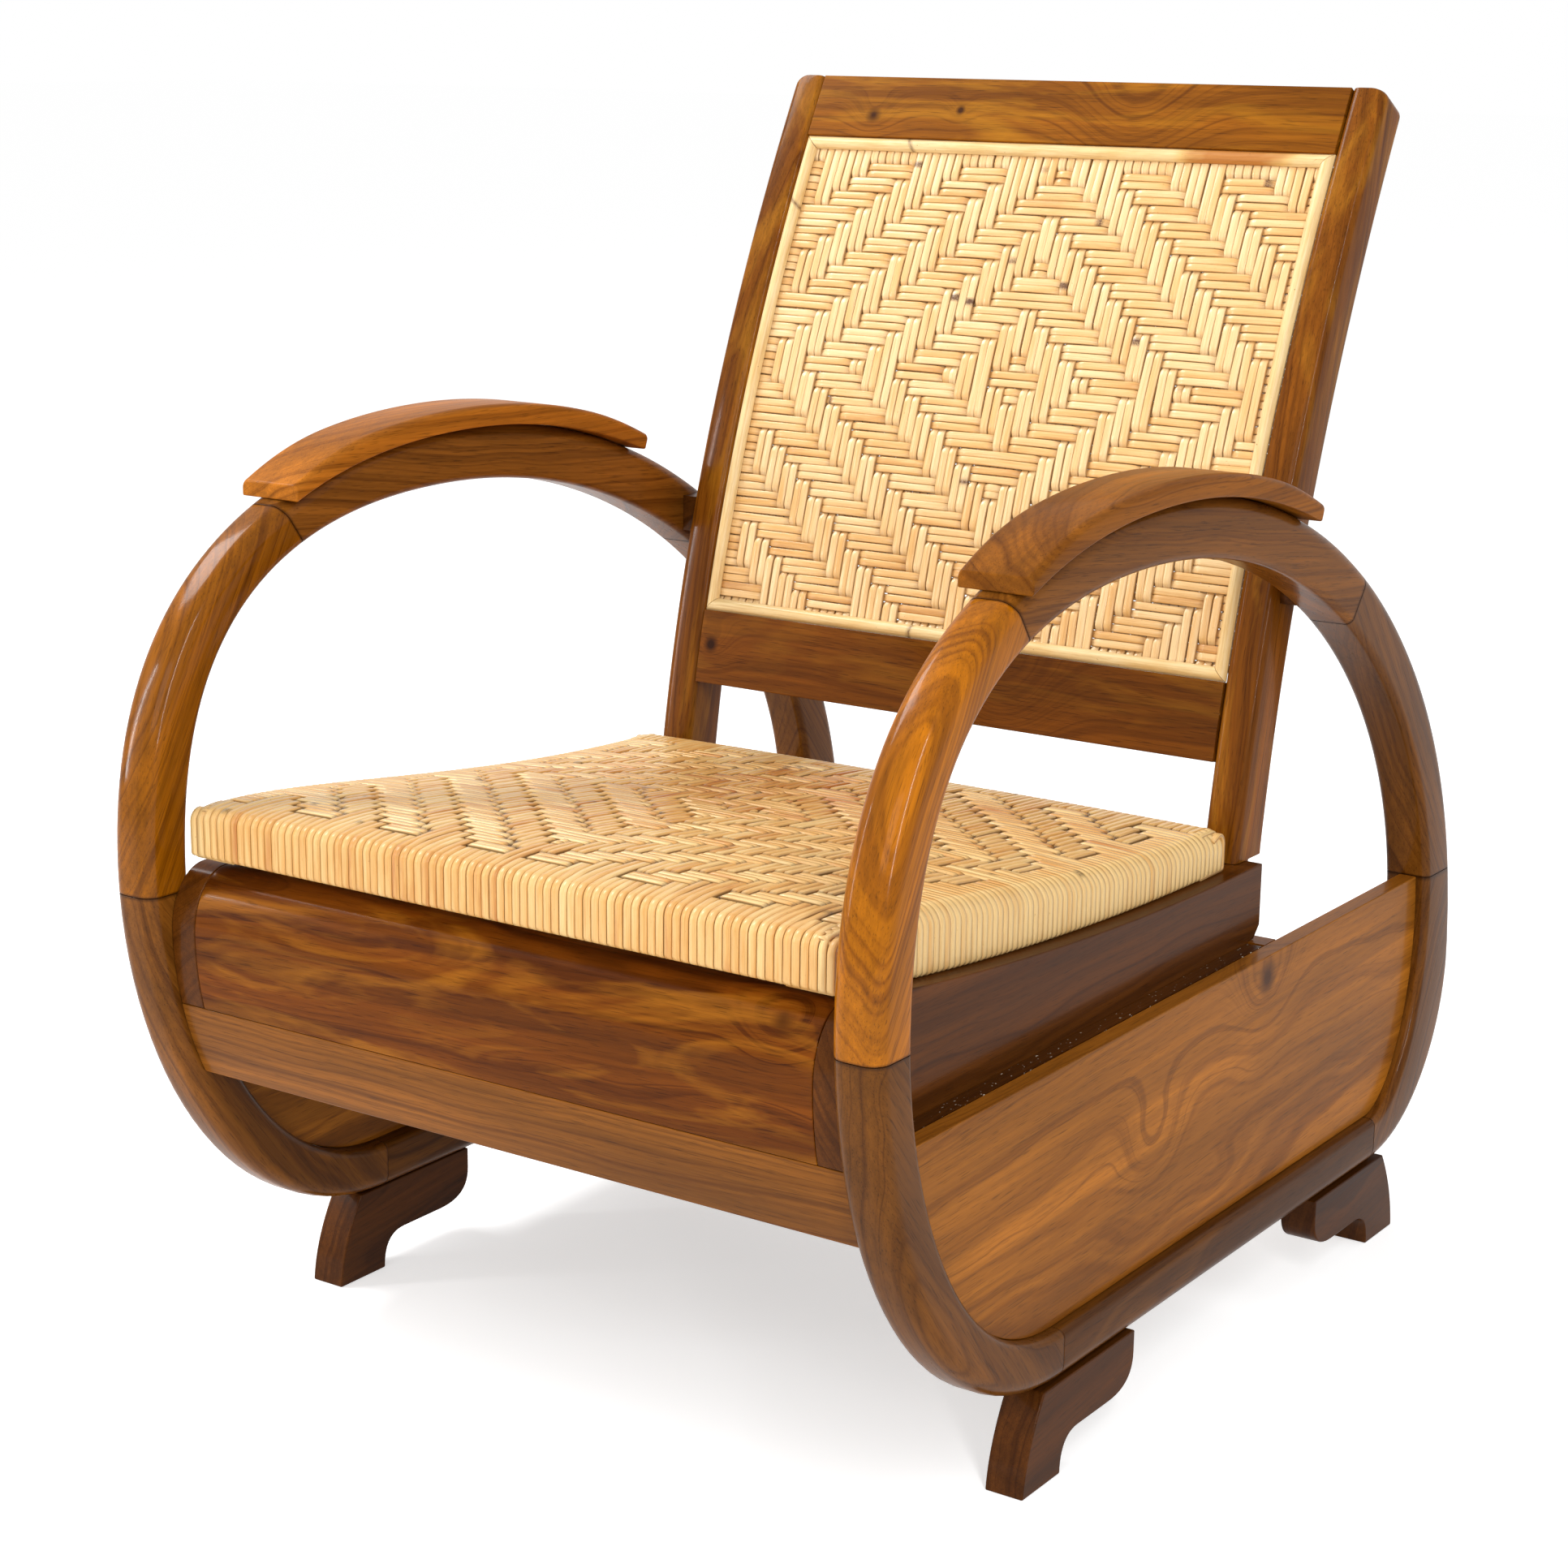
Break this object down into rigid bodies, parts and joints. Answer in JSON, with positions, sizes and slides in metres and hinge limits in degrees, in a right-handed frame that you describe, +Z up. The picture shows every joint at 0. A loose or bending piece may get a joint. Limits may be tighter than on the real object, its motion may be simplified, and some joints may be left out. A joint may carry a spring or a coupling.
{
  "type": "planters chair",
  "caption": "Low lounge chair with round hoop sides, flat arm pads, a bowed reclined back and a lift-out seat, both of woven rattan.",
  "frame": {"origin": "on the floor, under the middle of the chair's box", "axes": "+Z up, -Y the way the sitter faces, +X the sitter's left"},
  "size_m": [0.63, 0.8441, 0.873],
  "materials": {
    "hoop_wood_bright": "varnished brown hardwood with straight grain, semi-gloss",
    "hoop_wood": "varnished brown hardwood with straight grain, semi-gloss",
    "pad_wood": "varnished brown hardwood with straight grain, semi-gloss",
    "panel_wood": "varnished brown hardwood with straight grain, semi-gloss",
    "rail_wood": "varnished brown hardwood with straight grain, semi-gloss",
    "plank_wood": "varnished brown hardwood with straight grain, semi-gloss",
    "back_wood": "varnished brown hardwood with straight grain, semi-gloss",
    "foot_wood": "varnished brown hardwood with straight grain, semi-gloss",
    "inner_wood": "plain sawn hardwood, unvarnished",
    "dowel_wood": "plain turned hardwood",
    "seat_rattan": "natural round rattan strands woven in a twill, satin",
    "back_rattan": "natural round rattan strands in doubled twill, satin with bright streaks",
    "bead_rattan": "pale half-round rattan bead, satin"
  },
  "bodies": {
    "frame": {"hoop_front_upper_left": "hoop_wood_bright", "hoop_front_upper_right": "hoop_wood_bright", "hoop_front_lower_left": "hoop_wood", "hoop_front_lower_right": "hoop_wood", "hoop_top_left": "hoop_wood", "hoop_top_right": "hoop_wood", "hoop_rear_upper_left": "hoop_wood", "hoop_rear_upper_right": "hoop_wood", "hoop_rear_lower_left": "hoop_wood", "hoop_rear_lower_right": "hoop_wood", "hoop_bottom_rail_left": "hoop_wood", "hoop_bottom_rail_right": "hoop_wood", "arm_pad_left": "pad_wood", "arm_pad_right": "pad_wood", "side_panel_left": "panel_wood", "side_panel_right": "panel_wood", "seat_side_rail_left": "rail_wood", "seat_side_rail_right": "rail_wood", "side_cleat_left": "rail_wood", "side_cleat_right": "rail_wood", "front_plank_upper": "plank_wood", "front_plank_lower": "plank_wood", "back_post_left": "back_wood", "back_post_right": "back_wood", "back_lower_rail": "back_wood", "back_top_rail": "back_wood", "arm_spacer_left": "back_wood", "arm_spacer_right": "back_wood", "foot_front_left": "foot_wood", "foot_front_right": "foot_wood", "foot_rear_left": "foot_wood", "foot_rear_right": "foot_wood", "seat_rear_rail": "inner_wood", "rear_cross_board": "inner_wood", "corner_block_front_left": "inner_wood", "corner_block_front_right": "inner_wood", "corner_block_rear_left": "inner_wood", "corner_block_rear_right": "inner_wood", "post_dowel_left": "dowel_wood", "post_dowel_right": "dowel_wood", "foot_dowel_front_left": "dowel_wood", "foot_dowel_front_right": "dowel_wood", "foot_dowel_rear_left": "dowel_wood", "foot_dowel_rear_right": "dowel_wood", "back_weave": "back_rattan", "bead_side_left": "bead_rattan", "bead_side_right": "bead_rattan", "bead_bottom": "bead_rattan", "bead_top": "bead_rattan"},
    "seat": {"seat_weave": "seat_rattan", "seat_frame_side_left": "inner_wood", "seat_frame_side_right": "inner_wood", "seat_frame_front": "inner_wood", "seat_frame_rear": "inner_wood"}
  },
  "joints": [
    {"name": "seat_lift", "type": "slide", "parent": "frame", "child": "seat", "axis": [0, 0, 1], "range_m": [0, 0.3]}
  ]
}
